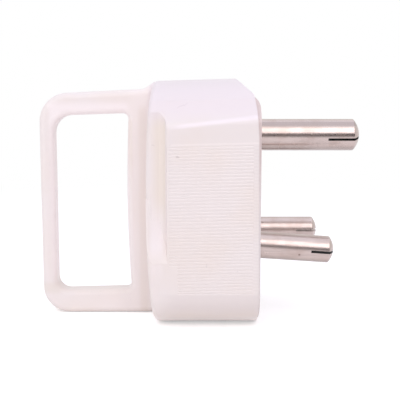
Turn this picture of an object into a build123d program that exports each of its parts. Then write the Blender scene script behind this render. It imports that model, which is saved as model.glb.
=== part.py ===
"""Three-pin plug with a moulded pull handle, for a 16 A round-pin socket.

Frame, in millimetres: the origin is on the earth pin's axis, in the plane of the pin face.
+X runs along the pins to their tips, +Z is up (earth pin on top), and the Y = 0 plane
splits the plug in half. The line pin is the one on the -Y side.
"""
import os
from math import asin, cos, radians, sin

from build123d import *

# Pin pattern of the standard round-pin plug
PIN_DROP = 28.575            # earth axis down to the line and neutral axes
PIN_SPACING = 25.4           # line axis to neutral axis
EARTH_RADIUS = 4.355
EARTH_LENGTH = 28.575        # past the pin face
LIVE_RADIUS = 3.53
LIVE_LENGTH = 19.05
LINE_PIN_DROOP = 3.8         # degrees: the line pin leans in its worn seat
LINE_PIN_SLIP = 0.95         # and stands out further than the neutral pin by this
DROOP_PIVOT_X = -2.0

# Housing, outer form
HALF_WIDTH = 22.0
BOTTOM_Z = -50.0
BOTTOM_CORNER_WIDTH = 13.0   # the underside rounds up in two arcs of 45 degrees
BOTTOM_CORNER_HEIGHT = 9.7
ARCH_HALF_WIDTH = 17.0
REAR_SHOULDER_Z = 3.0        # the top widens and rises from the back to the pins
FRONT_SHOULDER_Z = 5.2
REAR_ARCH_FOOT_Z = 9.4
FRONT_ARCH_FOOT_Z = 10.0
REAR_RIDGE_Z = 14.8
FRONT_RIDGE_Z = 15.6
SHOULDER_RADIUS = 3.0
REAR_STATION_X = -28.0       # where the rear and front heights above are measured
FRONT_STATION_X = 0.0
REAR_TOP_X = -27.7           # the back face bulges between these
REAR_BULGE_X = -29.5
REAR_BULGE_Z = -15.5
REAR_BOTTOM_X = -27.1
PROFILE_SPARE = 4.0          # how far the side profile runs past the section
BEVEL_SUM = 9.5              # X + Z on the 45 degree bevel over the earth pin
RIM_ROUND = 1.6              # rounding round the back face
WALL = 2.4

# Fine grip ribs on both sides
RIB_COUNT = 44
SHORT_RIB_COUNT = 8          # the lowest ones end further forward
RIB_PITCH = 0.861
RIB_HALF_HEIGHT = 0.26
RIB_DEPTH = 0.10
GROOVE_SPARE = 0.4           # how far the cutters reach out of the side
RIB_TOP_Z = -1.7             # first groove, at the front
RIB_REAR_X = -23.4
SHORT_RIB_REAR_X = -21.3
RIB_FRONT_X = -2.0
RIB_RISE = 1.4               # degrees: the cover sits nose up on the pin base
STEP_Z = -39.7               # level groove that ends the ribbed panel
STEP_HALF_HEIGHT = 0.30

# Finger scoop behind the ribs, on both sides
SCOOP_FRONT_X = -23.9
SCOOP_TOP_Z = 7.4
SCOOP_BOTTOM_Z = -31.8
SCOOP_DEPTH = 2.8
SCOOP_FRONT_REACH = 4.2      # how far back its curved front wall runs
SCOOP_FLOOR_SPARE = 0.35     # its cutter reaches this close to the floor, which the rim form finishes
SCOOP_RUN_OUT_RADIUS = 43.0  # the floor rises to the side in this arc at the lower end

# Handle
HANDLE_HALF_WIDTH = 3.3
HANDLE_ROUND = 1.8
HANDLE_LEFT_X = -59.65
HANDLE_TOP_LEFT_Z = 11.2
HANDLE_TOP_RIGHT_Z = 12.6
HANDLE_KNEE_X = -30.8
HANDLE_TOP_RADIUS = 8.0
HANDLE_BOTTOM_RADIUS = 7.3
HANDLE_KNEE_RADIUS = 3.0
GAP_LEFT_X = -55.65
GAP_TOP_RADIUS = 5.0
GAP_BOTTOM_RADIUS = 3.4
GAP_RIGHT_RADIUS = 1.5
GAP_TOP_LEFT_Z = 5.3
GAP_TOP_RIGHT_Z = 6.0
GAP_BOTTOM_LEFT_Z = -43.6
GAP_BOTTOM_RIGHT_Z = -43.1
GAP_RIGHT_TOP_X = -35.1
GAP_RIGHT_MID_X = -35.7
GAP_RIGHT_BOTTOM_X = -34.8

# Pin base, the moulding that carries the pins
FLANGE_BACK_X = -2.2
FLANGE_INSET = 0.9
LIP_BEVEL_INSET = 0.3        # the visible lip stands back from the cover's bevel by this
LIP_CORNER_RADIUS = 4.0      # where the lip's bevel turns into the pin face
FIT_GAP = 0.1
PLATE_BACK_X = -4.0
EARTH_HEAD_RADIUS = 5.8
LIVE_HEAD_RADIUS = 4.7
EARTH_ROOT_RADIUS = 4.65
LIVE_ROOT_RADIUS = 3.85
ROOT_CLEARANCE = 0.25
EARTH_ROOT_END_X = -0.2
LIVE_ROOT_END_X = -1.3
LIVE_HOLE_EASE = 0.6         # recess round the line and neutral holes, so a pin can lean
LIVE_HOLE_EASE_DEPTH = 1.5
WORN_SEAT_RADIUS = 5.1
CONTACT_GAP = 0.01
HEAD_BACK_X = -14.0
HEAD_CHAMFER = 0.6
SOCKET_WALL = 1.1
SOCKET_CLEARANCE = 0.9
SOCKET_BACK_X = -12.0
WIRE_SLOT_WIDTH = 4.6
WIRE_HOLE_X = -9.0

# Tips of the pins
EARTH_DOME = 1.75
LIVE_DOME = 1.35
TIP_ROUND = 0.5
TIP_SLOT_WIDTH = 0.6
EARTH_TIP_SLOT_LENGTH = 9.0
LIVE_TIP_SLOT_LENGTH = 6.2
EARTH_SLOT_ANGLE = 15.0      # degrees about the pin's axis
LINE_SLOT_ANGLE = 5.0
NEUTRAL_SLOT_ANGLE = 0.0

# Terminal screws, in the back ends of the pins
TERMINAL_RADIUS = 1.75
TERMINAL_LENGTH = 4.6
TERMINAL_HEAD_RADIUS = 3.0
TERMINAL_HEAD_HEIGHT = 2.2

# Cover screw, between the pins
COVER_SCREW_Z = -14.0
COVER_SCREW_RADIUS = 2.0
COVER_SCREW_HEAD_RADIUS = 3.8
COVER_SCREW_HEAD_FRONT_X = -0.8
COVER_SCREW_SEAT_X = -3.0
COVER_SCREW_TIP_X = -15.5
COUNTERBORE_RADIUS = 4.2
BASE_BOSS_RADIUS = 5.0
BASE_BOSS_BACK_X = -9.9
COVER_BOSS_RADIUS = 4.8
COVER_BOSS_FRONT_X = -10.0
INSERT_RADIUS = 3.0
INSERT_BACK_X = -16.0

# Cord clamp and cord inlet
CLAMP_Z = -40.8
CLAMP_SCREW_Y = 9.5
CLAMP_POST_RADIUS = 3.2
CLAMP_POST_BACK_X = -12.0
CLAMP_HALF_LENGTH = 13.2
CLAMP_WIDTH = 6.8
CLAMP_THICKNESS = 3.4
CLAMP_BEAD_RADIUS = 1.2
CLAMP_SCREW_RADIUS = 1.5
CLAMP_SCREW_HEAD_RADIUS = 2.8
CLAMP_SCREW_HEAD_HEIGHT = 1.9
CLAMP_SCREW_TIP_X = -5.0
CORD_INLET_RADIUS = 5.2
CORD_INLET_X = -9.8

# Hollow of the cover
CAVITY_BACK_X = -23.4
BACK_POCKET_X = -25.8
BACK_POCKET_HALF_WIDTH = 16.0
BACK_POCKET_BOTTOM_Z = -43.5
BACK_POCKET_TOP_Z = 8.5

# A leaning head touches its seat at one edge only, so the seat is this much deeper than the slip
LEAN_DEPTH = (LIVE_HEAD_RADIUS - HEAD_CHAMFER) * sin(radians(LINE_PIN_DROOP))
LINE_SEAT_WEAR = LINE_PIN_SLIP + LEAN_DEPTH + CONTACT_GAP

FAR = 90.0                   # past everything
SPARE = 3.0                  # how far a cutter reaches into the open
OPEN_FRONT_X = 8.0           # where forms that stay open at the front end

# Front lines of the side profile, from low to high, each up to the bevel
COVER_RIM = [(-0.45, BOTTOM_Z), (-0.65, 0.0), (-1.1, 7.3), (-1.6, BEVEL_SUM + 1.6)]
OPEN_FRONT = [(OPEN_FRONT_X, BEVEL_SUM - OPEN_FRONT_X)]
LIP_FRONT = [(LIP_BEVEL_INSET, BEVEL_SUM - LIP_BEVEL_INSET)]


def section(x, inset=0.0):
    """Face across the housing at x, as seen from the pins, drawn in by inset."""
    share = (x - REAR_STATION_X) / (FRONT_STATION_X - REAR_STATION_X)
    shoulder_z = REAR_SHOULDER_Z + share * (FRONT_SHOULDER_Z - REAR_SHOULDER_Z)
    foot_z = REAR_ARCH_FOOT_Z + share * (FRONT_ARCH_FOOT_Z - REAR_ARCH_FOOT_Z)
    ridge_z = REAR_RIDGE_Z + share * (FRONT_RIDGE_Z - REAR_RIDGE_Z)
    half = sin(radians(45))
    rest = 1 - half
    small = (BOTTOM_CORNER_HEIGHT * half - BOTTOM_CORNER_WIDTH * rest) / (half ** 2 - rest ** 2)
    large = (BOTTOM_CORNER_WIDTH - small * rest) / half
    flat = HALF_WIDTH - BOTTOM_CORNER_WIDTH
    right = [
        Line((0, BOTTOM_Z), (flat, BOTTOM_Z)),
        JernArc((flat, BOTTOM_Z), (1, 0), large, 45),
        JernArc((flat + large * half, BOTTOM_Z + large * rest), (1, 1), small, 45),
        Line((HALF_WIDTH, BOTTOM_Z + BOTTOM_CORNER_HEIGHT), (HALF_WIDTH, shoulder_z)),
        Line((HALF_WIDTH, shoulder_z), (ARCH_HALF_WIDTH, foot_z)),
    ]
    left = [mirror(edge, about=Plane.YZ) for edge in right]
    arch = ThreePointArc((-ARCH_HALF_WIDTH, foot_z), (0, ridge_z), (ARCH_HALF_WIDTH, foot_z))
    face = make_face(right + left + [arch])
    corners = face.vertices().filter_by_position(Axis.Y, shoulder_z - 0.1, foot_z + 0.1)
    face = fillet(corners, SHOULDER_RADIUS)
    if inset:
        face = offset(face, -inset)
    return Pos(x, 0, 0) * (Plane.YZ * face)


def side_profile(front, inset=0.0, corner_radius=0.0):
    """Face along the housing, seen from the side, between its back and a front line."""
    top_z = FRONT_RIDGE_Z + PROFILE_SPARE
    low_z = BOTTOM_Z - PROFILE_SPARE
    outline = [
        Polyline(
            (REAR_BOTTOM_X, low_z),
            (front[0][0], low_z),
            *front,
            (BEVEL_SUM - top_z, top_z),
            (REAR_TOP_X, top_z),
        ),
        ThreePointArc((REAR_TOP_X, top_z), (REAR_BULGE_X, REAR_BULGE_Z), (REAR_BOTTOM_X, low_z)),
    ]
    face = make_face(outline)
    if corner_radius:
        face = fillet(face.vertices().sort_by_distance(front[-1])[0], corner_radius)
    if inset:
        face = offset(face, -inset)
    return Plane.XZ * face


def housing(front, section_inset=0.0, profile_inset=0.0, corner_radius=0.0):
    """The housing's form: its drafted cross section and its side profile, intersected."""
    ends = [section(REAR_BULGE_X - 4, section_inset), section(OPEN_FRONT_X + 4, section_inset)]
    across = loft(ends, ruled=True)
    along = extrude(side_profile(front, profile_inset, corner_radius), FAR, both=True)
    return across & along


def slab(low_x, high_x):
    """Everything between two planes across the pins' direction."""
    return Pos((low_x + high_x) / 2, 0, 0) * Box(high_x - low_x, 2 * FAR, 2 * FAR)


def rod(radius, start_x, end_x, y=0.0, z=0.0):
    """Cylinder along X."""
    disc = Plane.YZ * Pos(y, z) * Circle(radius)
    return extrude(Pos(start_x, 0, 0) * disc, end_x - start_x)


def groove(half_height, rear_x):
    """Cutter for one V groove in the cover's -Y side, from the front of the ribs back to rear_x."""
    spread = half_height * (1 + GROOVE_SPARE / RIB_DEPTH)
    tooth = make_face(Polyline(
        (-HALF_WIDTH + RIB_DEPTH, 0),
        (-HALF_WIDTH - GROOVE_SPARE, spread),
        (-HALF_WIDTH - GROOVE_SPARE, -spread),
        close=True,
    ))
    return extrude(Plane.YZ * tooth, rear_x - RIB_FRONT_X)


def grip_ribs():
    """Cutters for the fine grooves on the two sides of the cover, and the level one under them."""
    long_groove = groove(RIB_HALF_HEIGHT, RIB_REAR_X)
    short_groove = groove(RIB_HALF_HEIGHT, SHORT_RIB_REAR_X)
    step = groove(STEP_HALF_HEIGHT, SHORT_RIB_REAR_X)
    grooves = [Pos(RIB_FRONT_X, 0, STEP_Z) * step]
    for index in range(RIB_COUNT):
        shape = long_groove if index < RIB_COUNT - SHORT_RIB_COUNT else short_groove
        z = RIB_TOP_Z - index * RIB_PITCH
        grooves.append(Pos(RIB_FRONT_X, 0, z) * Rot(0, -RIB_RISE, 0) * shape)
    return grooves + [mirror(shape, about=Plane.XZ) for shape in grooves]


def finger_scoop():
    """Cutter for the hollow behind the ribs, on the -Y side: steep in front, running out below."""
    side = -HALF_WIDTH
    floor = side + SCOOP_DEPTH
    inner = floor + SCOOP_FLOOR_SPARE
    deep = floor + SPARE
    clear = side - SPARE
    back = REAR_BULGE_X - SPARE
    wall_end = SCOOP_FRONT_X - SCOOP_FRONT_REACH
    plan = make_face([
        ThreePointArc(
            (SCOOP_FRONT_X, side),
            (SCOOP_FRONT_X - 0.13 * SCOOP_FRONT_REACH, side + 0.5 * SCOOP_DEPTH),
            (wall_end, inner),
        ),
        Polyline(
            (wall_end, inner),
            (wall_end, deep),
            (back, deep),
            (back, clear),
            (SCOOP_FRONT_X, clear),
            (SCOOP_FRONT_X, side),
        ),
    ])
    prism = extrude(Pos(0, 0, -FAR / 2) * plan, FAR)

    def arc_drop(y):
        """How far below its top the run-out arc reaches y."""
        return (SCOOP_RUN_OUT_RADIUS ** 2 - (SCOOP_RUN_OUT_RADIUS + y - inner) ** 2) ** 0.5

    arc_top_z = SCOOP_BOTTOM_Z + arc_drop(side)
    arc_low_z = arc_top_z - arc_drop(clear)
    window = make_face([
        Polyline(
            (inner, arc_top_z),
            (deep, arc_top_z),
            (deep, SCOOP_TOP_Z),
            (clear, SCOOP_TOP_Z),
            (clear, arc_low_z),
        ),
        ThreePointArc((clear, arc_low_z), (side, SCOOP_BOTTOM_Z), (inner, arc_top_z)),
    ])
    tool = prism & extrude(Pos(-FAR, 0, 0) * (Plane.YZ * window), 2 * FAR)

    left_standing = extrude(side_profile(OPEN_FRONT), HALF_WIDTH - SCOOP_DEPTH, both=True)
    left_standing = fillet(left_standing.edges().filter_by(GeomType.CIRCLE), RIM_ROUND)
    return tool - left_standing


def handle():
    """The pull handle: a rounded bar bent into a closed loop behind the housing."""
    inside_x = REAR_TOP_X + 2.0
    outline = make_face(Polyline(
        (HANDLE_LEFT_X, BOTTOM_Z),
        (inside_x, BOTTOM_Z),
        (inside_x, REAR_RIDGE_Z - 0.3),
        (REAR_TOP_X - 0.3, REAR_RIDGE_Z - 0.3),
        (HANDLE_KNEE_X, HANDLE_TOP_RIGHT_Z),
        (HANDLE_LEFT_X, HANDLE_TOP_LEFT_Z),
        close=True,
    ))
    corner = outline.vertices().sort_by_distance((HANDLE_LEFT_X, BOTTOM_Z))[0]
    outline = fillet(corner, HANDLE_BOTTOM_RADIUS)
    corner = outline.vertices().sort_by_distance((HANDLE_LEFT_X, HANDLE_TOP_LEFT_Z))[0]
    outline = fillet(corner, HANDLE_TOP_RADIUS)
    knee = outline.vertices().sort_by_distance((HANDLE_KNEE_X, HANDLE_TOP_RIGHT_Z))[0]
    outline = fillet(knee, HANDLE_KNEE_RADIUS)
    middle_z = (GAP_TOP_RIGHT_Z + GAP_BOTTOM_RIGHT_Z) / 2
    gap = make_face([
        Polyline(
            (GAP_RIGHT_TOP_X, GAP_TOP_RIGHT_Z),
            (GAP_LEFT_X, GAP_TOP_LEFT_Z),
            (GAP_LEFT_X, GAP_BOTTOM_LEFT_Z),
            (GAP_RIGHT_BOTTOM_X, GAP_BOTTOM_RIGHT_Z),
        ),
        ThreePointArc(
            (GAP_RIGHT_BOTTOM_X, GAP_BOTTOM_RIGHT_Z),
            (GAP_RIGHT_MID_X, middle_z),
            (GAP_RIGHT_TOP_X, GAP_TOP_RIGHT_Z),
        ),
    ])
    gap = fillet(gap.vertices().sort_by_distance((GAP_LEFT_X, GAP_TOP_LEFT_Z))[0], GAP_TOP_RADIUS)
    gap = fillet(gap.vertices().sort_by_distance((GAP_LEFT_X, GAP_BOTTOM_LEFT_Z))[0], GAP_BOTTOM_RADIUS)
    right = gap.vertices().filter_by_position(Axis.X, GAP_RIGHT_TOP_X - 0.6, GAP_RIGHT_BOTTOM_X + 0.1)
    gap = fillet(right, GAP_RIGHT_RADIUS)
    ring = extrude(Plane.XZ * (outline - gap), HANDLE_HALF_WIDTH, both=True)
    rims = ring.edges().filter_by(lambda e: abs(abs(e.center().Y) - HANDLE_HALF_WIDTH) < 0.01)
    rims = rims.filter_by(lambda e: e.center().X < inside_x - 0.5)
    return fillet(rims, HANDLE_ROUND)


def rear_cover():
    """Cover with its handle, hollow, grip ribs, finger scoops, screw boss and cord inlet."""
    shell = housing(COVER_RIM)
    back_edges = shell.edges().filter_by(lambda e: e.bounding_box().max.X < REAR_BOTTOM_X + 0.1)
    shell = fillet(back_edges, RIM_ROUND)
    scoop = finger_scoop()
    shell = shell - scoop - mirror(scoop, about=Plane.XZ)
    cover = shell + handle()

    cavity = housing(OPEN_FRONT, WALL, WALL) & slab(CAVITY_BACK_X, OPEN_FRONT_X)
    rebate_wall = FLANGE_INSET - FIT_GAP
    rebate = housing(OPEN_FRONT, rebate_wall, 1.0) & slab(FLANGE_BACK_X, OPEN_FRONT_X)
    pocket_height = BACK_POCKET_TOP_Z - BACK_POCKET_BOTTOM_Z
    pocket_depth = CAVITY_BACK_X - BACK_POCKET_X + 1
    pocket = Box(pocket_depth, 2 * BACK_POCKET_HALF_WIDTH, pocket_height)
    pocket = fillet(pocket.edges().filter_by(Axis.X), 4.0)
    pocket_x = (BACK_POCKET_X + CAVITY_BACK_X + 1) / 2
    pocket_z = (BACK_POCKET_TOP_Z + BACK_POCKET_BOTTOM_Z) / 2
    cover = cover - cavity - rebate - Pos(pocket_x, 0, pocket_z) * pocket

    boss = rod(COVER_BOSS_RADIUS, BACK_POCKET_X - 0.5, COVER_BOSS_FRONT_X, z=COVER_SCREW_Z)
    cover = cover + boss
    cover = cover - rod(INSERT_RADIUS, INSERT_BACK_X, COVER_BOSS_FRONT_X + 1, z=COVER_SCREW_Z)
    cover = cover - rod(COVER_SCREW_RADIUS + 0.2, INSERT_BACK_X - 4, COVER_BOSS_FRONT_X, z=COVER_SCREW_Z)
    inlet = Pos(CORD_INLET_X, 0, BOTTOM_Z) * Cylinder(CORD_INLET_RADIUS, 4 * WALL)
    cover = cover - inlet
    return cover - grip_ribs()


def pin_socket(head_radius, y, z):
    """Walled pocket for a pin's head, open downwards for its wire."""
    inner = head_radius + SOCKET_CLEARANCE
    ring = rod(inner + SOCKET_WALL, SOCKET_BACK_X, PLATE_BACK_X, y, z)
    ring = ring - rod(inner, SOCKET_BACK_X, PLATE_BACK_X, y, z)
    slot_length = SOCKET_BACK_X - PLATE_BACK_X + 1.5
    slot_x = SOCKET_BACK_X - slot_length / 2
    slot = Pos(slot_x, y, z - inner) * Box(abs(slot_length), WIRE_SLOT_WIDTH, 2 * inner)
    return ring - slot


def pin_base():
    """Moulding that closes the cover and carries the three pins."""
    proud = housing(LIP_FRONT, FLANGE_INSET, LIP_BEVEL_INSET, LIP_CORNER_RADIUS)
    proud = proud - housing(COVER_RIM, -2.0)
    sunk = housing(OPEN_FRONT, FLANGE_INSET, 1.0 + FIT_GAP)
    sunk = sunk & slab(FLANGE_BACK_X, COVER_RIM[0][0])
    spigot = housing(OPEN_FRONT, WALL + FIT_GAP, WALL + FIT_GAP)
    base = (proud & slab(FLANGE_BACK_X, 1)) + sunk + (spigot & slab(PLATE_BACK_X, FLANGE_BACK_X))
    live_y = PIN_SPACING / 2
    base = base + pin_socket(EARTH_HEAD_RADIUS, 0, 0)
    base = base + pin_socket(LIVE_HEAD_RADIUS, -live_y, -PIN_DROP)
    base = base + pin_socket(LIVE_HEAD_RADIUS, live_y, -PIN_DROP)
    base = base + rod(BASE_BOSS_RADIUS, BASE_BOSS_BACK_X, PLATE_BACK_X, z=COVER_SCREW_Z)
    for y in (-CLAMP_SCREW_Y, CLAMP_SCREW_Y):
        base = base + rod(CLAMP_POST_RADIUS, CLAMP_POST_BACK_X, PLATE_BACK_X, y, CLAMP_Z)
        base = base - rod(CLAMP_SCREW_RADIUS, CLAMP_POST_BACK_X, CLAMP_SCREW_TIP_X, y, CLAMP_Z)
    base = base - rod(EARTH_ROOT_RADIUS + ROOT_CLEARANCE, PLATE_BACK_X, 1)
    live_hole = LIVE_ROOT_RADIUS + ROOT_CLEARANCE
    for y in (-live_y, live_y):
        base = base - rod(live_hole, PLATE_BACK_X, 1, y, -PIN_DROP)
        base = base - rod(live_hole + LIVE_HOLE_EASE, -LIVE_HOLE_EASE_DEPTH, 1, y, -PIN_DROP)
    base = base - rod(WORN_SEAT_RADIUS, PLATE_BACK_X, PLATE_BACK_X + LINE_SEAT_WEAR, -live_y, -PIN_DROP)
    base = base - rod(COVER_SCREW_RADIUS + 0.2, BASE_BOSS_BACK_X, 1, z=COVER_SCREW_Z)
    return base - rod(COUNTERBORE_RADIUS, COVER_SCREW_SEAT_X, 1, z=COVER_SCREW_Z)


def pin(radius, root_radius, root_end_x, head_radius, length, dome, slot_length, slot_angle):
    """A turned pin along X: domed split tip, thicker root, and a head that clamps the wire."""
    shaft_end = length - dome
    dome_radius = (radius ** 2 + dome ** 2) / (2 * dome)
    half_angle = asin(radius / dome_radius) / 2
    mid = (length - dome_radius + dome_radius * cos(half_angle), dome_radius * sin(half_angle))
    half = make_face([
        Polyline(
            (length, 0),
            (HEAD_BACK_X, 0),
            (HEAD_BACK_X, head_radius - 0.5),
            (HEAD_BACK_X + 0.5, head_radius),
            (PLATE_BACK_X - HEAD_CHAMFER, head_radius),
            (PLATE_BACK_X, head_radius - HEAD_CHAMFER),
            (PLATE_BACK_X, root_radius),
            (root_end_x, root_radius),
            (root_end_x, radius),
            (shaft_end, radius),
        ),
        ThreePointArc((shaft_end, radius), mid, (length, 0)),
    ])
    body = revolve(half, Axis.X, 360)
    shoulder = body.edges().filter_by(GeomType.CIRCLE)
    shoulder = shoulder.filter_by_position(Axis.X, shaft_end - 0.01, shaft_end + 0.01)
    body = fillet(shoulder, TIP_ROUND)
    slot = Pos(length - slot_length / 2 + 1, 0, 0) * Box(slot_length + 2, 4 * radius, TIP_SLOT_WIDTH)
    wire_hole = Pos(WIRE_HOLE_X, 0, 0) * Cylinder(head_radius * 0.42, 4 * head_radius)
    screw_hole = rod(TERMINAL_RADIUS, HEAD_BACK_X - 1, WIRE_HOLE_X)
    return body - Rot(slot_angle, 0, 0) * slot - wire_hole - screw_hole


def screw(radius, length, head_radius, head_height, slot_width):
    """A cheese-head screw along X: head seat at X = 0, shank towards +X."""
    shank = rod(radius, 0, length)
    shank = chamfer(shank.edges().sort_by(Axis.X)[-1], radius * 0.3)
    head = rod(head_radius, -head_height, 0)
    head = chamfer(head.edges().sort_by(Axis.X)[0], head_height * 0.25)
    slot = Pos(-head_height, 0, 0) * Box(head_height, 4 * head_radius, slot_width)
    return head + shank - slot


def terminal_screw():
    """Screw that clamps a wire in a pin's head, seated on the head's back end."""
    return Pos(HEAD_BACK_X, 0, 0) * screw(
        TERMINAL_RADIUS, TERMINAL_LENGTH, TERMINAL_HEAD_RADIUS, TERMINAL_HEAD_HEIGHT, 0.8
    )


def cover_screw():
    """Machine screw that draws the cover on to the base, entered from the pin face."""
    height = COVER_SCREW_HEAD_FRONT_X - COVER_SCREW_SEAT_X
    length = COVER_SCREW_SEAT_X - COVER_SCREW_TIP_X
    body = screw(COVER_SCREW_RADIUS, length, COVER_SCREW_HEAD_RADIUS, height, 0.9)
    return Pos(COVER_SCREW_SEAT_X, 0, COVER_SCREW_Z) * Rot(0, 0, 180) * body


def cover_insert():
    """Threaded brass insert in the cover's boss."""
    outer = rod(INSERT_RADIUS, INSERT_BACK_X, COVER_BOSS_FRONT_X, z=COVER_SCREW_Z)
    return outer - rod(COVER_SCREW_RADIUS, INSERT_BACK_X, COVER_BOSS_FRONT_X, z=COVER_SCREW_Z)


def cord_clamp():
    """Bar that grips the cord against the base, with a bead across its middle."""
    height = 2 * CLAMP_HALF_LENGTH
    bar = SlotOverall(height, CLAMP_WIDTH)
    bar = extrude(Pos(CLAMP_POST_BACK_X, 0, 0) * (Plane.YZ * Pos(0, CLAMP_Z) * bar), -CLAMP_THICKNESS)
    bead_length = 2 * (CLAMP_SCREW_Y - CLAMP_POST_RADIUS) - 1
    bead = Pos(CLAMP_POST_BACK_X, 0, CLAMP_Z) * Rot(90, 0, 0) * Cylinder(CLAMP_BEAD_RADIUS, bead_length)
    bar = bar + bead
    bar_back_x = CLAMP_POST_BACK_X - CLAMP_THICKNESS
    for y in (-CLAMP_SCREW_Y, CLAMP_SCREW_Y):
        bar = bar - rod(CLAMP_SCREW_RADIUS + 0.15, bar_back_x, CLAMP_POST_BACK_X, y, CLAMP_Z)
    return bar


def clamp_screw(y):
    """Screw that holds one end of the cord clamp to its post."""
    seat = CLAMP_POST_BACK_X - CLAMP_THICKNESS
    length = CLAMP_SCREW_TIP_X - seat - 0.5
    body = screw(CLAMP_SCREW_RADIUS, length, CLAMP_SCREW_HEAD_RADIUS, CLAMP_SCREW_HEAD_HEIGHT, 0.7)
    return Pos(seat, y, CLAMP_Z) * body


live_pin = dict(
    radius=LIVE_RADIUS,
    root_radius=LIVE_ROOT_RADIUS,
    root_end_x=LIVE_ROOT_END_X,
    head_radius=LIVE_HEAD_RADIUS,
    length=LIVE_LENGTH,
    dome=LIVE_DOME,
    slot_length=LIVE_TIP_SLOT_LENGTH,
)
earth_pin = pin(
    EARTH_RADIUS, EARTH_ROOT_RADIUS, EARTH_ROOT_END_X, EARTH_HEAD_RADIUS, EARTH_LENGTH,
    EARTH_DOME, EARTH_TIP_SLOT_LENGTH, EARTH_SLOT_ANGLE,
)
droop = Pos(DROOP_PIVOT_X, 0, 0) * Rot(0, LINE_PIN_DROOP, 0) * Pos(-DROOP_PIVOT_X, 0, 0)
line_place = Pos(LINE_PIN_SLIP, -PIN_SPACING / 2, -PIN_DROP) * droop
neutral_place = Pos(0, PIN_SPACING / 2, -PIN_DROP)

nodes = {
    "rear_cover": rear_cover(),
    "pin_base": pin_base(),
    "earth_pin": earth_pin,
    "line_pin": line_place * pin(slot_angle=LINE_SLOT_ANGLE, **live_pin),
    "neutral_pin": neutral_place * pin(slot_angle=NEUTRAL_SLOT_ANGLE, **live_pin),
    "earth_terminal_screw": terminal_screw(),
    "line_terminal_screw": line_place * terminal_screw(),
    "neutral_terminal_screw": neutral_place * terminal_screw(),
    "cover_screw": cover_screw(),
    "cover_insert": cover_insert(),
    "cord_clamp": cord_clamp(),
    "cord_clamp_screw_left": clamp_screw(-CLAMP_SCREW_Y),
    "cord_clamp_screw_right": clamp_screw(CLAMP_SCREW_Y),
}

os.makedirs("parts", exist_ok=True)
for name, shape in nodes.items():
    export_step(shape, f"parts/{name}.step")
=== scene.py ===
"""Finishes and studio for a three-pin plug with a moulded pull handle.

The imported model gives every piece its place: the origin is on the earth pin's axis in the
plane of the pin face, +X runs along the pins and +Z is up. All lengths here are in metres.
Colours are written as they show on screen, but those with a fourth channel, and the lamps'
own, are linear.
"""

import math
from functools import reduce
from operator import mul
from typing import NamedTuple

import bpy
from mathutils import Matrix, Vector


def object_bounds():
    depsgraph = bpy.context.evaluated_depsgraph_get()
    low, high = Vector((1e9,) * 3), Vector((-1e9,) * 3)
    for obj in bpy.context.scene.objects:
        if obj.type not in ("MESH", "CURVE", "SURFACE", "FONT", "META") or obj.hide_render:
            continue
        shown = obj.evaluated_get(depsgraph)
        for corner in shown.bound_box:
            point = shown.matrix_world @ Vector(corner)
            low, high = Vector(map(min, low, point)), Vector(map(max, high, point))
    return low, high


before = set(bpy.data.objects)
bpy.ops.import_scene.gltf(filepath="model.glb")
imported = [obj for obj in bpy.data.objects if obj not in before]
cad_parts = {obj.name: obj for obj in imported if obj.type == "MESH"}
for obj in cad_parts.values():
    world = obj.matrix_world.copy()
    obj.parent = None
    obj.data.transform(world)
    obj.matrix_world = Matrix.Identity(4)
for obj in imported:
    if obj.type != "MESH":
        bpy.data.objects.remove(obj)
CAD_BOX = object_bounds()

bl_info = {
    "name": "Three-pin plug",
    "version": (1, 0, 0),
    "blender": (4, 5, 0),
    "location": "3D View > Sidebar > Plug",
    "description": "Builds the finishes of a three-pin plug and the studio it stands in",
    "category": "Object",
}

MM = 0.001
FULL_TURN = 2 * math.pi
MIDDLE = 0.5  # of a noise, which runs from 0 to 1
SHARPNESS = 0.4  # share of a spot's radius within which it is full
MIX_LOW, MIX_HIGH, MIX_RESULT = 6, 7, 2  # a Mix node's colour sockets, whose names it uses more than once
FLOOR_Z = CAD_BOX[0][2] - 0.02 * MM
SIDE_Y = CAD_BOX[1][1]


def mm(*lengths):
    """Lengths given in millimetres."""
    return tuple(length * MM for length in lengths)


class Mark(NamedTuple):
    """A speck or a rubbed spot."""

    centre: tuple
    radius: float
    strength: float
    colour: tuple


class Tone(NamedTuple):
    """A zone with a colour laid over it: painted light or shade, or a real mark. Its edges: an axis, where
    the tone is absent, and where it is full.
    """

    name: str
    strength: float
    colour: tuple
    edges: tuple


class Pattern(NamedTuple):
    """A noise: its grains a metre, how fine and rough it is, and between what values its patches fade in."""

    grains: float | tuple
    detail: float = 2.0
    roughness: float = 0.5
    patches: tuple = ()


class Slot(NamedTuple):
    """A sawn slot: its turn about the piece's axis, where it starts along it, and half its width."""

    turn: float
    start: float
    half: float


class Thread(NamedTuple):
    """A screw thread along X: its ends and its pitch."""

    low: float
    high: float
    pitch: float


class Shank(NamedTuple):
    """A pin or screw: where its axis meets the pin face, its lean and what marks it.

    The radius is given for pins alone, which carry painted shade below and, by top_line, above.
    """

    origin: tuple = (0.0, 0.0, 0.0)
    droop: float = 0.0
    radius: float = 0.0
    extra_roughness: float = 0.0
    top_line: float = 0.0
    slot: Slot = None
    thread: Thread = None
    marks: tuple = ()


# Grip ribs on the cover, as the model has them
RIB_PITCH = 0.861 * MM
RIB_TOP_Z = -1.7 * MM
RIB_LOW_Z = -39.9 * MM
RIB_FRONT_X = -2.0 * MM
RIB_REAR_X = -23.4 * MM
RIB_RISE = math.radians(1.4)
SHORT_RIB_REAR_X = -21.3 * MM
SHORT_RIB_Z = -32.3 * MM
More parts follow.
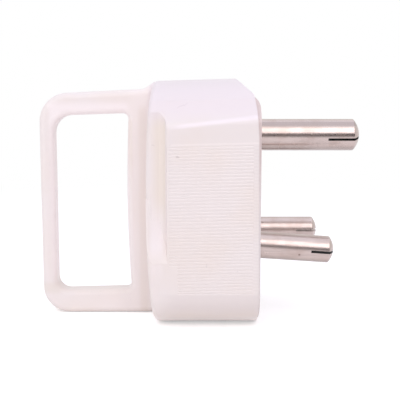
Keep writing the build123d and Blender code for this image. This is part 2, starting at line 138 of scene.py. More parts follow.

# Dust and painted shade between the ribs, on the slopes that face up, and a painted highlight on the edge
# above them. Heights are shares of the ribs' pitch
DUST_AND_SHADE_COLOUR = (0.80, 0.74, 0.71)
DUST_AND_SHADE_HEIGHT = 0.17  # from a groove's middle to the slope below it
DUST_AND_SHADE_FALL = 2.0  # how steeply it thins out over a rib
RIB_FIELD_FADE = 1.0 * MM
RIB_END = 0.2 * MM  # how softly the grooves' darkening, part painted shade, stops where the ribs do
EDGE_HIGHLIGHT_HEIGHT = 0.78  # from the first groove's middle
EDGE_HIGHLIGHT_HALF = (0.34, 0.16)
EDGE_HIGHLIGHT_STRENGTH = 0.5

# Slanted lines on the cover's side, one for the painted highlight along the shoulder and one for a scuff:
# rise along X, height where X is 0
SHOULDER_LINE = (0.122, 5.6 * MM)
SCUFF_LINE = (0.45, 17.3 * MM)
SCUFF_WAVES = Pattern((900.0, 0.0, 0.0), detail=1.0)
SCUFF_WAVE_HEIGHT = 1.2 * MM

# Surface of the mouldings: patterns, how they tint the colour and how much they change the roughness
CLOUDS = Pattern(70.0, detail=3.0, patches=(0.35, 0.70))
CLOUD_TINT = (1.0, 0.992, 0.980)
CLOUD_ROUGHNESS = 0.10
SPECKS = Pattern(900.0, detail=0.0, patches=(0.83, 0.87))
SPECK_STRENGTH = 0.30
SPECK_GAIN = 0.86
HANDLING = Pattern((60.0, 400.0, 900.0), detail=4.0, roughness=0.6, patches=(0.66, 0.80))
HANDLING_ROUGHNESS = 0.12
FINE_GRAIN = Pattern(2600.0)
GRAIN_ROUGHNESS = 0.05
GRAIN_STRENGTH = 0.25
MOULDING_IOR = 1.50

# How the mouldings look, in order: painted light and shade, each named below, and a real scuff. PALE is a
# piece's own colour, made lighter as painted light, LOOP the edge at which the handle's loop starts, and
# SCOOP_FLOOR the lower part of a finger scoop
PALE = None
PALE_GAIN = 1.05
# colour of the painted light on and below the finger scoop
SCOOP_LIGHT_TONE = (0.985, 0.951, 0.956)
# colour of the painted shade in the crease and at the loop's inner edge
CREASE_SHADE = (0.900, 0.835, 0.770)
GRIME = (0.50, 0.42, 0.42)
LOOP = ("x", *mm(-33.5, -36.5))
SCOOP_FLOOR = (("x", *mm(-24.4, -25.8)), ("x", *mm(-29, -27.6)))
COVER_TONES = (
    # painted light: the spine between handle and body, which lies in shade, made paler
    Tone("spine", 0.50, PALE, (("x", *mm(-28.8, -29.6)), ("x", *mm(-36.5, -33.5)))),
    # painted light: the whole handle made a little paler
    Tone("handle", 0.25, PALE, (LOOP,)),
    # painted light: the inner faces of the loop made paler, as if lit from the floor
    Tone("inside of the loop", 0.75, (1.0, 0.962, 0.958), (
        LOOP, ("x", *mm(-57.6, -55.8)), ("z", *mm(10, 7.6)), ("z", *mm(-42, -37)),
    )),
    # painted shade: the upper face of the lowest bar made darker and warmer
    Tone("lowest bar", 0.70, (0.925, 0.885, 0.850), (LOOP, ("z", *mm(-40.5, -42)), ("z", *mm(-45, -43.4)))),
    # painted shade: the deep part of the finger scoop by its front edge made darker and creamier
    Tone("yellowed scoop", 0.60, (0.930, 0.880, 0.815), (
        ("x", *mm(-29, -25.4)), ("x", *mm(-24.1, -24.5)), ("z", *mm(-27, -14)), ("z", *mm(8.5, 4)),
    )),
    # painted light: the lower floor of the finger scoop made paler, where it faces the light
    Tone("rubbed scoop", 0.45, SCOOP_LIGHT_TONE, (*SCOOP_FLOOR, ("z", *mm(-14, -25)), ("z", *mm(-32, -27.5)))),
    # painted light: a paler strip below the scoop, which softens the step in brightness where the scoop ends
    Tone("below the scoop", 0.25, SCOOP_LIGHT_TONE, (
        *SCOOP_FLOOR, ("z", *mm(-31.4, -32.6)), ("z", *mm(-37.5, -32.8)),
    )),
    # painted shade: a darker, warmer crease where the spine meets the top of the body
    Tone("crease", 0.22, CREASE_SHADE, (
        ("x", *mm(-33, -31.6)), ("x", *mm(-29.4, -30.8)), ("z", *mm(9, 6)),
    )),
    # painted shade: the inner face at the loop's edge made darker and warmer
    Tone("inner edge", 0.30, CREASE_SHADE, (
        ("x", *mm(-35.6, -35)), ("x", *mm(-33.6, -34.4)), ("z", *mm(-22, -2)), ("z", *mm(5, 3.5)),
    )),
    # painted light: the top made bluer and a little darker, as under cool light from above
    Tone("crown", 0.80, (0.936, 0.893, 0.902), (("z", *mm(2, 8)), ("x", *mm(-30, -28.5)))),
    # painted highlight: a pale band along the shoulder's lower edge
    Tone("shoulder", 0.60, (0.990, 0.955, 0.972), (("shoulder", *mm(0.9, 0.1)), ("x", *mm(-25, -19)))),
    # painted shade: a darker band below the ribs, where the side starts to curve under
    Tone("panel below the ribs", 0.85, (0.912, 0.874, 0.860), (
        ("x", *mm(-27.5, -21)), ("z", *mm(-39.4, -40.6)), ("z", *mm(-46.5, -43)),
    )),
    # painted light: the lower rounded edge made paler, as if lit from the floor
    Tone("foot", 0.80, (1.0, 0.968, 0.958), (("x", *mm(-29, -27.5)), ("z", *mm(-46, -48.2)))),
    Tone("scuff", 0.10, (0.62, 0.52, 0.56), (
        ("scuff", *mm(0.22, 0.06)), ("x", *mm(-21.6, -21)), ("x", *mm(-18.4, -19)), ("y", *mm(0, -5)),
    )),
)
BASE_TONES = (
    # painted light: the rim of the pin base made lighter towards the bottom
    Tone("rim", 0.80, (0.945, 0.920, 0.915), (("z", *mm(-2, -16)),)),
)
COVER_MARKS = (
    Mark((-21.3 * MM, -SIDE_Y, -4.5 * MM), 0.46 * MM, 0.20, GRIME),
    Mark((-20.9 * MM, -SIDE_Y, -4.6 * MM), 0.34 * MM, 0.15, GRIME),
    Mark(mm(-2.3, -19.6, 9.1), 0.32 * MM, 0.50, GRIME),
)

# Surface of plated metal: patterns, how they tint the colour and how much they change the roughness
ACROSS_RINGS = 20.0  # the rings' grains a metre across the axis. Along it they follow the turning pitch
RING_ROUGHNESS = 0.08
RING_STRENGTH = 0.15
RING_DEPTH = 0.003 * MM
STAINS = Pattern(190.0, detail=3.0, patches=(0.42, 0.72))
STAIN_STRENGTH = 0.8
STAIN_TINT = (0.93, 0.90, 0.88)
STAIN_ROUGHNESS = 0.16
STREAKS = Pattern((90.0, 2600.0, 2600.0), detail=3.0, roughness=0.6, patches=(0.45, 0.75))
STREAK_STRENGTH = 0.7
STREAK_GAIN = 0.90
STREAK_ROUGHNESS = 0.14

# Painted shade on the pins, which stands in for darker reflections. Heights over the axis are shares of the
# radius
PIN_SHADE_GAIN = 0.84
UNDERSIDE = (-0.58, -0.88)
UNDERSIDE_STRENGTH = 0.85
TOP_LINE_LOW = (0.52, 0.64)
TOP_LINE_HIGH = (0.90, 0.80)

# Slots, darkened inside with painted shade, and threads
SLOT_SHADE = (0.012, 0.011, 0.013, 1.0)
SLOT_EDGE = mm(0.06, 0.01)  # how far the painted shade reaches past a slot's walls, thinly and in full
TIP_SLOT_HALF = 0.3 * MM
THREAD_STRENGTH = 0.9
THREAD_DEPTH = 0.12 * MM

# Pins and screws
BRIGHT_SCUFF = (0.95, 0.90, 0.85)
PINS = {
    "earth_pin": Shank(
        radius=4.355 * MM, top_line=0.85,
        slot=Slot(math.radians(15), 19.6 * MM, TIP_SLOT_HALF),
        marks=(
            Mark(mm(15.0, -4.3, 0.4), 0.30 * MM, 0.6, BRIGHT_SCUFF),
            Mark(mm(16.3, -4.3, 0.3), 0.26 * MM, 0.6, BRIGHT_SCUFF),
        ),
    ),
    "line_pin": Shank(
        origin=mm(0, -12.7, -28.645), droop=math.radians(3.8), radius=3.53 * MM, extra_roughness=0.05,
        slot=Slot(math.radians(5), 13.8 * MM, TIP_SLOT_HALF),
        marks=(Mark(mm(10.6, -15.9, -30.7), 0.40 * MM, 0.7, (0.42, 0.34, 0.30)),),
    ),
    "neutral_pin": Shank(origin=mm(0, 12.7, -28.575), radius=3.53 * MM, extra_roughness=0.07),
}
COVER_THREAD = Thread(*mm(-16, -3.2, 0.7))
TERMINAL_SCREW = Shank(thread=Thread(*mm(-14.2, -9, 0.6)))
CLAMP_SCREW = Shank(thread=Thread(*mm(-15.2, -5.2, 0.6)))
SCREWS = {
    "cover_screw": Shank(
        origin=mm(0, 0, -14), slot=Slot(0.0, -1.9 * MM, 0.45 * MM), thread=COVER_THREAD,
    ),
    "earth_terminal_screw": TERMINAL_SCREW,
    "line_terminal_screw": TERMINAL_SCREW,
    "neutral_terminal_screw": TERMINAL_SCREW,
    "cord_clamp_screw_left": CLAMP_SCREW,
    "cord_clamp_screw_right": CLAMP_SCREW,
}

# Lamps by the setting that holds their brightness: name, place, size and colour
LAMP_AIM = (0.0, 0.0, -0.015)
LAMPS = {
    "key": ("front_softbox", (0.10, -0.50, 0.36), (0.32, 0.46), (0.98, 0.96, 1.0)),
    "side": ("left_softbox", (-0.42, -0.42, 0.22), (0.60, 0.50), (0.98, 0.95, 1.0)),
    "top": ("top_softbox", (0.0, 0.10, 0.90), (1.40, 1.20), (0.68, 0.74, 1.0)),
}

# Floor and surround. The lift brightens the paper to look at and gives no light
WHITE = (1.0, 1.0, 1.0, 1.0)
SURROUND_LIGHT = (0.95, 0.94, 1.0, 1.0)
FLOOR_REACH = 6.0
FLOOR_LIFT = 0.40
FLOOR_LIFT_TINT = (0.95, 0.98, 1.0, 1.0)
PAPER_CENTRE = (-0.015, 0.0, FLOOR_Z)
PAPER_ENDS = (0.10, 0.32)  # how far out it starts to turn white, and is white

# Dark card that the metal reflects, and the camera
FLAG_CLOTH = (0.12, 0.11, 0.11, 1.0)
FLAG_Y = -0.26
FLAG_LOW_Z = -0.049
FLAG_HIGH_Z = 0.066
FLAG_HALF_WIDTH = 0.30
SENSOR_WIDTH = 36.0  # in millimetres, as the lens is
NEAREST_SEEN = 0.01


class Value:
    """A number or vector on a shader socket, with arithmetic that adds Math nodes."""

    def __init__(self, finish, socket):
        self.finish = finish
        self.socket = socket

    def math(self, operation, *inputs, clamp=False):
        return self.finish.node("ShaderNodeMath", {"operation": operation, "use_clamp": clamp}, inputs)

    def __add__(self, other):
        return self.math("ADD", self, other)

    def __radd__(self, other):
        return self.math("ADD", other, self)

    def __sub__(self, other):
        return self.math("SUBTRACT", self, other)

    def __rsub__(self, other):
        return self.math("SUBTRACT", other, self)

    def __mul__(self, other):
        return self.math("MULTIPLY", self, other)

    def __rmul__(self, other):
        return self.math("MULTIPLY", other, self)

    def __truediv__(self, other):
        return self.math("DIVIDE", self, other)

    def __rtruediv__(self, other):
        return self.math("DIVIDE", other, self)

    def __pow__(self, other):
        return self.math("POWER", self, other)

    def __abs__(self):
        return self.math("ABSOLUTE", self)

    def clamp(self):
        return self.math("ADD", self, 0.0, clamp=True)

    def cosine(self):
        return self.math("COSINE", self)

    def between(self, absent, full):
        """0 at absent, 1 at full, and a smooth change between them, whichever is the higher."""
        ends = (0.0, 1.0) if absent < full else (1.0, 0.0)
        low, high = sorted((absent, full))
        return self.finish.node(
            "ShaderNodeMapRange", {"interpolation_type": "SMOOTHSTEP"}, (self, low, high, *ends),
        )


class Finish:
    """A node material in the making."""

    def __init__(self, tree, output):
        self.tree = tree
        self.tree.nodes.clear()
        self.output = output

    @classmethod
    def material(cls, name):
        """A new material and the finish that fills it."""
        material = bpy.data.materials.new(name)
        material.use_nodes = True
        return material, cls(material.node_tree, "ShaderNodeOutputMaterial")

    def node(self, kind, settings=None, values=(), out=0):
        """Adds a node: its settings first, then the values or links of its sockets, by name or in order."""
        node = self.tree.nodes.new(kind)
        for key, value in (settings or {}).items():
            setattr(node, key, value)
        pairs = values.items() if isinstance(values, dict) else enumerate(values)
        for key, value in pairs:
            self.feed(node.inputs[key], value)
        if isinstance(out, tuple):
            return [Value(self, node.outputs[key]) for key in out]
        return Value(self, node.outputs[out])

    def feed(self, socket, value):
        """Links a value to a socket, or sets it there. None leaves the socket as it is."""
        if isinstance(value, Value):
            self.tree.links.new(value.socket, socket)
        elif value is not None:
            socket.default_value = value

    def end(self, shader):
        """Adds the output and links the last shader to it."""
        self.node(self.output, values=(shader,), out=())

    def place(self):
        """The point's place in the part's frame, in metres."""
        return self.node("ShaderNodeTexCoord", out="Object")

    def split(self, vector):
        """The three parts of a vector."""
        return self.node("ShaderNodeSeparateXYZ", values=(vector,), out=("X", "Y", "Z"))

    def distance(self, vector, point):
        """How far a place is from a point."""
        return self.node("ShaderNodeVectorMath", {"operation": "DISTANCE"}, (vector, point), out="Value")

    def spot(self, place, centre, radius):
        """1 at a point, falling softly to 0 a radius away."""
        return self.distance(place, centre).between(radius, SHARPNESS * radius)

    def noise(self, place, pattern):
        """The noise of a pattern. Three numbers for its grains stretch it along the axes."""
        scale = pattern.grains
        if isinstance(scale, tuple):
            place = self.node("ShaderNodeVectorMath", {"operation": "MULTIPLY"}, (place, scale))
            scale = 1.0
        return self.node("ShaderNodeTexNoise", {"noise_dimensions": "3D"}, {
            "Vector": place, "Scale": scale, "Detail": pattern.detail, "Roughness": pattern.roughness,
        })

    def blend(self, share, low, high, label=""):
        """A colour between two colours."""
        colours = {"Factor": share, MIX_LOW: low, MIX_HIGH: high}
        return self.node("ShaderNodeMix", {"data_type": "RGBA", "label": label}, colours, out=MIX_RESULT)

    def bump(self, height, strength, distance, normal=None):
        """The normal of a surface that stands up by a height, on top of another normal."""
        return self.node("ShaderNodeBump", values={
            "Strength": strength, "Distance": distance, "Height": height, "Normal": normal,
        })

    def mix(self, share, low, high):
        """A shader between two shaders."""
        return self.node("ShaderNodeMixShader", values=(share, low, high))

    def seen(self):
        """1 for what the camera sees directly, in a mirror or through glass, and 0 for light."""
        rays = ("Is Camera Ray", "Is Glossy Ray", "Is Transmission Ray")
        direct, glossy, through = self.node("ShaderNodeLightPath", out=rays)
        return (direct + glossy + through).clamp()


def linear(colour):
    """A colour as written on screen, as the linear colour that a shader takes."""
    channels = []
    for channel in colour:
        low = channel / 12.92
        high = ((channel + 0.055) / 1.055) ** 2.4
        channels.append(low if channel <= 0.04045 else high)
    return (*channels, 1.0)


def scaled(colour, gain):
    """A colour made lighter or darker."""
    return tuple(min(1.0, gain * channel) for channel in colour)


def times(colour, tint):
    """A colour with each channel taken times that of a tint."""
    return tuple(channel * share for channel, share in zip(colour, tint))


class PlugCoverSettings(bpy.types.PropertyGroup):
    """Looks of the white mouldings."""

    cover: bpy.props.FloatVectorProperty(
        name="Cover colour", description="Colour of the cover and its handle",
        subtype="COLOR_GAMMA", size=3, min=0, max=1, default=(0.943, 0.908, 0.893),
    )
    base: bpy.props.FloatVectorProperty(
        name="Base colour", description="Colour of the moulding that carries the pins",
        subtype="COLOR_GAMMA", size=3, min=0, max=1, default=(0.888, 0.826, 0.812),
    )
    clamp: bpy.props.FloatVectorProperty(
        name="Clamp colour", description="Colour of the bar that grips the cord",
        subtype="COLOR_GAMMA", size=3, min=0, max=1, default=(0.85, 0.82, 0.79),
    )
    gloss: bpy.props.FloatProperty(
        name="Roughness", description="Roughness of the moulded surface",
        subtype="FACTOR", min=0, max=1, default=0.36,
    )
    grain: bpy.props.FloatProperty(
        name="Grain height", description="Height of the fine grain of the moulding",
        unit="LENGTH", default=0.010 * MM,
    )
    # Dust and painted shade in the ribs: how much the slopes that face up, where the light falls, are
    # darkened
    dust: bpy.props.FloatProperty(
        name="Dust in the grooves", description="How much the grooves between the ribs have darkened",
        subtype="FACTOR", min=0, max=1, default=0.10,
    )


class PlugPinSettings(bpy.types.PropertyGroup):
    """Looks of the plated pins."""

    plating: bpy.props.FloatVectorProperty(
        name="Plating colour", description="Colour of the nickel plating",
        subtype="COLOR_GAMMA", size=3, min=0, max=1, default=(0.775, 0.713, 0.692),
    )
    polish: bpy.props.FloatProperty(
        name="Roughness", description="Roughness of the plating",
        subtype="FACTOR", min=0, max=1, default=0.27,
    )
    turning: bpy.props.FloatProperty(
        name="Turning pitch", description="Spacing of the fine lathe marks",
        unit="LENGTH", min=0.01 * MM, default=0.12 * MM,
    )


class PlugFastenerSettings(bpy.types.PropertyGroup):
    """Looks of the screws and the insert."""

    steel: bpy.props.FloatVectorProperty(
        name="Screw colour", description="Colour of the zinc plated screws",
        subtype="COLOR_GAMMA", size=3, min=0, max=1, default=(0.745, 0.728, 0.722),
    )
    brass: bpy.props.FloatVectorProperty(
        name="Insert colour", description="Colour of the brass insert",
        subtype="COLOR_GAMMA", size=3, min=0, max=1, default=(0.85, 0.72, 0.45),
    )
    polish: bpy.props.FloatProperty(
        name="Roughness", description="Roughness of the screws and the insert",
        subtype="FACTOR", min=0, max=1, default=0.30,
    )
    turning: bpy.props.FloatProperty(
        name="Turning pitch", description="Spacing of the fine lathe marks",
        unit="LENGTH", min=0.01 * MM, default=0.2 * MM,
    )


class PlugStudioSettings(bpy.types.PropertyGroup):
    """Floor, lamps and camera."""

    eye: bpy.props.FloatVectorProperty(
        name="Camera place", description="Where the camera stands",
        subtype="XYZ", unit="LENGTH", size=3, default=(-0.0159, -0.220, 0.0112),
    )
    pitch: bpy.props.FloatProperty(
        name="Camera pitch", description="How far the camera looks down",
        subtype="ANGLE", unit="ROTATION", default=math.radians(7.64),
    )
    yaw: bpy.props.FloatProperty(
        name="Camera yaw", description="How far the camera turns to the right",
        subtype="ANGLE", unit="ROTATION", default=math.radians(0.105),
    )
    lens: bpy.props.FloatProperty(
        name="Focal length", description="Focal length on a 36 mm wide sensor",
        unit="CAMERA", default=71.1,
    )
    floor: bpy.props.FloatVectorProperty(
        name="Floor colour", description="Colour of the floor",
        subtype="COLOR_GAMMA", size=3, min=0, max=1, default=(0.967, 0.955, 0.942),
    )
    key: bpy.props.FloatProperty(
        name="Front softbox", description="Brightness of the front softbox", min=0, default=1.9,
    )
    side: bpy.props.FloatProperty(
        name="Left softbox", description="Brightness of the left softbox", min=0, default=0.78,
    )
    top: bpy.props.FloatProperty(
        name="Top softbox", description="Brightness of the top softbox", min=0, default=0.52,
    )
    fill: bpy.props.FloatProperty(
        name="Fill", description="Brightness of the surround as a light", min=0, default=0.635,
    )


def cover_axes(finish, place):
    """X, Y and Z, and how far a point of the cover is from the shoulder's line and from the scuff."""
    x, y, z = finish.split(place)
    rise, height = SHOULDER_LINE
    shoulder = abs(z - x * rise - height)
    rise, height = SCUFF_LINE
    wave = finish.noise(place, SCUFF_WAVES) - MIDDLE
    scuff = abs(z - x * rise - height + wave * SCUFF_WAVE_HEIGHT)
    return {"x": x, "y": y, "z": z, "shoulder": shoulder, "scuff": scuff}


def base_axes(finish, place):
    """X, Y and Z of a plain moulding."""
    return dict(zip("xyz", finish.split(place)))


def tinted(finish, tone, axes, tones, pale):
    """A colour with the tones of a table laid over it, in order."""
    for zone in tones:
        share = reduce(mul, [axes[axis].between(absent, full) for axis, absent, full in zone.edges])
        tone = finish.blend(share * zone.strength, tone, linear(zone.colour or pale), zone.name)
    return tone


def marked(finish, tone, place, marks):
    """A colour with specks and rubbed spots on it."""
    for mark in marks:
        share = finish.spot(place, mark.centre, mark.radius) * mark.strength
        tone = finish.blend(share, tone, linear(mark.colour), "mark")
    return tone


def rib_dust_and_shade(finish, tone, axes, pale, amount):
    """Dust and painted shade on the upper sides of the ribs, and a pale line above the first one, which is a
    painted highlight.
    """
    x, y, z = axes["x"], axes["y"], axes["z"]
    phase = (RIB_TOP_Z - z + (x - RIB_FRONT_X) * math.tan(RIB_RISE)) / RIB_PITCH
    ledge = (((phase - DUST_AND_SHADE_HEIGHT) * FULL_TURN).cosine() * 0.5 + 0.5) ** DUST_AND_SHADE_FALL
    on_side = abs(y).between(SIDE_Y - 3 * RIB_END, SIDE_Y - RIB_END)
    in_height = z.between(RIB_LOW_Z, RIB_LOW_Z + RIB_FIELD_FADE) * z.between(RIB_TOP_Z + RIB_FIELD_FADE, RIB_TOP_Z)
    below = z.between(SHORT_RIB_Z + RIB_END, SHORT_RIB_Z - RIB_END)
    rear = below * (SHORT_RIB_REAR_X - RIB_REAR_X) + RIB_REAR_X
    in_length = (x - rear).between(-RIB_END, 2 * RIB_END)
    # Dust and painted shade, darkest on the lit slopes that face up
    dust = ledge * on_side * in_height * in_length * amount
    tone = finish.blend(dust, tone, linear(DUST_AND_SHADE_COLOUR), "dust")
    # A pale line above the first rib: painted highlight
    edge = abs(phase + EDGE_HIGHLIGHT_HEIGHT).between(*EDGE_HIGHLIGHT_HALF)
    edge = edge * on_side * x.between(RIB_REAR_X, RIB_REAR_X + RIB_FIELD_FADE)
    return finish.blend(edge * EDGE_HIGHLIGHT_STRENGTH, tone, linear(pale), "painted edge highlight")


def moulding(name, colour, looks, find_axes=base_axes, tones=(), marks=(), ribbed=False):
    """Satin thermoset moulding: faint flow clouds, fine grain, specks, rubbed places and marks, with the
    painted light and shade of its tones and ribs.
    """
    material, finish = Finish.material(name)
    place = finish.place()
    axes = find_axes(finish, place)
    clouds = finish.noise(place, CLOUDS)
    fine = finish.noise(place, FINE_GRAIN)
    specks = finish.noise(place, SPECKS).between(*SPECKS.patches)
    rubbed = finish.noise(place, HANDLING).between(*HANDLING.patches)
    pale = scaled(colour, PALE_GAIN)
    warm = linear(times(colour, CLOUD_TINT))
    tone = finish.blend(clouds.between(*CLOUDS.patches), linear(colour), warm, "clouds")
    tone = finish.blend(specks * SPECK_STRENGTH, tone, linear(scaled(colour, SPECK_GAIN)), "specks")
    tone = tinted(finish, tone, axes, tones, pale)
    if ribbed:
        tone = rib_dust_and_shade(finish, tone, axes, pale, looks.dust)
    roughness = looks.gloss + CLOUD_ROUGHNESS * (clouds - MIDDLE) + GRAIN_ROUGHNESS * (fine - MIDDLE)
    finish.end(finish.node("ShaderNodeBsdfPrincipled", values={
        "Base Color": marked(finish, tone, place, marks),
        "Roughness": roughness + HANDLING_ROUGHNESS * rubbed,
        "IOR": MOULDING_IOR,
        "Normal": finish.bump(fine, GRAIN_STRENGTH, looks.grain),
    }))
    return material


def on_axis(x, y, z, shank):
    """A point's place along, beside and above the axis of a pin or screw."""
    away, side, up = x - shank.origin[0], y - shank.origin[1], z - shank.origin[2]
    along = away * math.cos(shank.droop) - up * math.sin(shank.droop)
    above = away * math.sin(shank.droop) + up * math.cos(shank.droop)
    return along, side, above


def painted_pin_shade(x, y, z, shank):
    """Painted shade on a pin, which stands in for darker reflections: its underside, and a line along its
    top.
    """
    above = on_axis(x, y, z, shank)[2]
    under, low, high = [
        above.between(absent * shank.radius, full * shank.radius)
        for absent, full in (UNDERSIDE, TOP_LINE_LOW, TOP_LINE_HIGH)
    ]
    return under * UNDERSIDE_STRENGTH + low * high * shank.top_line


def painted_slot_shade(x, y, z, shank):
    """Painted shade: 1 on the walls of a tip slot or a screw's slot and 0 on the rest of the piece."""
    slot = shank.slot
    along, side, above = on_axis(x, y, z, shank)
    from_middle = abs(above * math.cos(slot.turn) - side * math.sin(slot.turn))
    thin, full = SLOT_EDGE
    beside = from_middle.between(slot.half + thin, slot.half + full)
    return beside * along.between(slot.start - thin, slot.start - full)


def thread_turns(x, thread):
    """Height of a thread's crests, running out over one pitch at both ends."""
    low, high, pitch = thread
    turns = (x * (FULL_TURN / pitch)).cosine()
    return turns * x.between(low, low + pitch) * x.between(high, high - pitch)


def plated(name, colour, roughness, turning, shank):
    """Plate over turned metal: fine rings round the piece, streaks along it, stains, painted shade below and
    along the top of a pin, and painted shade in a slot.
    """
    material, finish = Finish.material(name)
    place = finish.place()
    x, y, z = finish.split(place)
    rings = finish.noise(place, Pattern((1 / turning, ACROSS_RINGS, ACROSS_RINGS)))
    streaks = finish.noise(place, STREAKS)
    stains = finish.noise(place, STAINS)
    stained = stains.between(*STAINS.patches) * STAIN_STRENGTH
    tone = finish.blend(stained, linear(colour), linear(times(colour, STAIN_TINT)), "stains")
    streaked = streaks.between(*STREAKS.patches) * STREAK_STRENGTH
    tone = finish.blend(streaked, tone, linear(scaled(colour, STREAK_GAIN)), "streaks")
    if shank.radius:
        # painted shade on the pin's underside and top line, in place of darker reflections
        tone = finish.blend(painted_pin_shade(x, y, z, shank), tone, linear(scaled(colour, PIN_SHADE_GAIN)), "painted pin shade")
    if shank.slot:
        # the inside of a slot painted near black: painted shade
        tone = finish.blend(painted_slot_shade(x, y, z, shank), tone, SLOT_SHADE, "slot")
    normal = finish.bump(rings, RING_STRENGTH, RING_DEPTH)
    if shank.thread:
        normal = finish.bump(thread_turns(x, shank.thread), THREAD_STRENGTH, THREAD_DEPTH, normal)
    for noise, change in ((rings, RING_ROUGHNESS), (stains, STAIN_ROUGHNESS), (streaks, STREAK_ROUGHNESS)):
        roughness = roughness + change * (noise - MIDDLE)
    finish.end(finish.node("ShaderNodeBsdfPrincipled", values={
        "Base Color": marked(finish, tone, place, shank.marks),
        "Metallic": 1.0,
        "Roughness": roughness,
        "Normal": normal,
    }))
    return material


def dress(node, material):
    """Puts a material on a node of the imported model."""
    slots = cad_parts[node].data.materials
    slots.clear()
    slots.append(material)


class PLUG_OT_cover(bpy.types.Operator):
    """Finishes the cover with its handle"""

    bl_idname = "plug.cover"
    bl_label = "Cover"

    def execute(self, context):
        looks = context.scene.plug_cover
        dress("rear_cover", moulding(
            "cover_moulding", looks.cover, looks, cover_axes, COVER_TONES, COVER_MARKS, ribbed=True,
        ))
        return {"FINISHED"}


class PLUG_OT_base(bpy.types.Operator):
    """Finishes the moulding that carries the pins, and the cord clamp"""

    bl_idname = "plug.base"
    bl_label = "Pin base"

    def execute(self, context):
        looks = context.scene.plug_cover
        dress("pin_base", moulding("base_moulding", looks.base, looks, tones=BASE_TONES))
        dress("cord_clamp", moulding("clamp_moulding", looks.clamp, looks))
        return {"FINISHED"}


class PLUG_OT_pins(bpy.types.Operator):
    """Finishes the plated pins"""

    bl_idname = "plug.pins"
    bl_label = "Pins"

    def execute(self, context):
        looks = context.scene.plug_pins
        for node, pin in PINS.items():
            roughness = looks.polish + pin.extra_roughness
            dress(node, plated(node + "_plate", looks.plating, roughness, looks.turning, pin))
        return {"FINISHED"}


class PLUG_OT_fasteners(bpy.types.Operator):
    """Finishes the screws and the brass insert"""

    bl_idname = "plug.fasteners"
    bl_label = "Fasteners"

    def execute(self, context):
        looks = context.scene.plug_fasteners
        for node, screw in SCREWS.items():
            dress(node, plated(node + "_steel", looks.steel, looks.polish, looks.turning, screw))
        insert = Shank(thread=COVER_THREAD)
        dress("cover_insert", plated("brass_insert", looks.brass, looks.polish, looks.turning, insert))
        return {"FINISHED"}


def sheet(name, corners, material):
    """A flat four-cornered piece of the studio."""
    mesh = bpy.data.meshes.new(name)
    mesh.from_pydata(corners, [], [(0, 1, 2, 3)])
    mesh.materials.append(material)
    piece = bpy.data.objects.new(name, mesh)
    bpy.context.scene.collection.objects.link(piece)
    return piece


def softbox(name, place, size, colour, brightness):
    """A soft rectangular lamp that faces the plug. Brightness 1 is a white card in full light."""
    lamp = bpy.data.lights.new(name, "AREA")
    lamp.shape = "RECTANGLE"
    lamp.size, lamp.size_y = size
    lamp.energy = brightness * math.pi * lamp.size * lamp.size_y
    lamp.color = colour
    holder = bpy.data.objects.new(name, lamp)
    holder.location = place
    aim = Vector(LAMP_AIM) - Vector(place)
    holder.rotation_euler = aim.to_track_quat("-Z", "Y").to_euler()
    bpy.context.scene.collection.objects.link(holder)


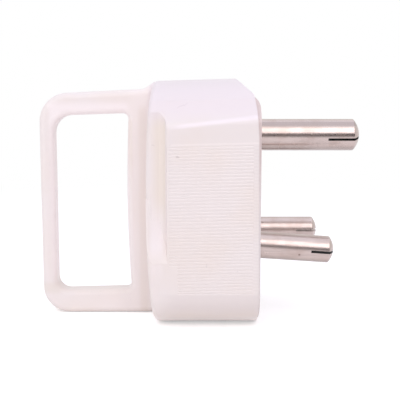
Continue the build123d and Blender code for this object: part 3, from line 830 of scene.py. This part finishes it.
class PLUG_OT_studio(bpy.types.Operator):
    """Builds the floor, the lamps, the white surround and the camera"""

    bl_idname = "plug.studio"
    bl_label = "Studio"

    def execute(self, context):
        looks = context.scene.plug_studio
        self.floor(looks)
        self.surround(context.scene, looks)
        self.flag()
        for setting, (name, place, size, colour) in LAMPS.items():
            softbox(name, place, size, colour, getattr(looks, setting))
        self.camera(context.scene, looks)
        context.scene.view_settings.view_transform = "Standard"
        return {"FINISHED"}

    def floor(self, looks):
        """Paper that keeps the plug's shadow and turns to plain white further off."""
        material, finish = Finish.material("floor_paper")
        away = finish.distance(finish.place(), PAPER_CENTRE).between(*PAPER_ENDS)
        lift = {"Color": FLOOR_LIFT_TINT, "Strength": finish.seen() * FLOOR_LIFT}
        near = finish.node("ShaderNodeAddShader", values=(
            finish.node("ShaderNodeBsdfDiffuse", values={"Color": linear(looks.floor)}),
            finish.node("ShaderNodeEmission", values=lift),
        ))
        white = finish.node("ShaderNodeEmission", values={"Color": WHITE, "Strength": 1.0})
        finish.end(finish.mix(away * finish.seen(), near, white))
        reach = FLOOR_REACH
        corners = ((-reach, -reach), (reach, -reach), (reach, reach), (-reach, reach))
        sheet("floor", [(x, y, FLOOR_Z) for x, y in corners], material)

    def surround(self, scene, looks):
        """White to look at, and dimmer as a light."""
        world = bpy.data.worlds.new("surround")
        world.use_nodes = True
        scene.world = world
        finish = Finish(world.node_tree, "ShaderNodeOutputWorld")
        light = finish.node("ShaderNodeBackground", values={"Color": SURROUND_LIGHT, "Strength": looks.fill})
        white = finish.node("ShaderNodeBackground", values={"Color": WHITE, "Strength": 1.0})
        finish.end(finish.mix(finish.seen(), light, white))

    def flag(self):
        """Dark card in front, low down: it draws the dark line along polished metal."""
        material, finish = Finish.material("flag_cloth")
        finish.end(finish.node("ShaderNodeBsdfDiffuse", values={"Color": FLAG_CLOTH}))
        half, low, high = FLAG_HALF_WIDTH, FLAG_LOW_Z, FLAG_HIGH_Z
        corners = ((-half, low), (half, low), (half, high), (-half, high))
        card = sheet("flag", [(x, FLAG_Y, z) for x, z in corners], material)
        card.visible_camera = False
        card.visible_diffuse = False
        card.visible_shadow = False

    def camera(self, scene, looks):
        """Camera at the height, angle and distance that show the plug side on."""
        lens = bpy.data.cameras.new("camera")
        lens.lens = looks.lens
        lens.sensor_width = SENSOR_WIDTH
        lens.clip_start = NEAREST_SEEN
        eye = bpy.data.objects.new("camera", lens)
        eye.location = looks.eye
        eye.rotation_euler = (math.radians(90) - looks.pitch, 0, -looks.yaw)
        scene.collection.objects.link(eye)
        scene.camera = eye


class PLUG_PT_panel(bpy.types.Panel):
    """Lists the steps and their settings"""

    bl_idname = "PLUG_PT_panel"
    bl_label = "Three-pin plug"
    bl_space_type = "VIEW_3D"
    bl_region_type = "UI"
    bl_category = "Plug"

    def draw(self, context):
        scene = context.scene
        steps = (
            ("plug.studio", scene.plug_studio, "eye pitch yaw lens floor key side top fill"),
            ("plug.cover", scene.plug_cover, "cover gloss grain dust"),
            ("plug.base", scene.plug_cover, "base clamp"),
            ("plug.pins", scene.plug_pins, "plating polish turning"),
            ("plug.fasteners", scene.plug_fasteners, "steel brass polish turning"),
        )
        for operator, group, names in steps:
            box = self.layout.box()
            box.operator(operator)
            for name in names.split():
                box.prop(group, name)


SETTINGS = {
    "plug_cover": PlugCoverSettings,
    "plug_pins": PlugPinSettings,
    "plug_fasteners": PlugFastenerSettings,
    "plug_studio": PlugStudioSettings,
}
CLASSES = (
    *SETTINGS.values(),
    PLUG_OT_studio,
    PLUG_OT_cover,
    PLUG_OT_base,
    PLUG_OT_pins,
    PLUG_OT_fasteners,
    PLUG_PT_panel,
)


def register():
    for kind in CLASSES:
        bpy.utils.register_class(kind)
    for name, kind in SETTINGS.items():
        setattr(bpy.types.Scene, name, bpy.props.PointerProperty(type=kind))


def unregister():
    for name in SETTINGS:
        delattr(bpy.types.Scene, name)
    for kind in reversed(CLASSES):
        bpy.utils.unregister_class(kind)


def main():
    register()
    bpy.ops.plug.studio()
    bpy.ops.plug.cover()
    bpy.ops.plug.base()
    bpy.ops.plug.pins()
    bpy.ops.plug.fasteners()


if __name__ == "__main__":
    main()
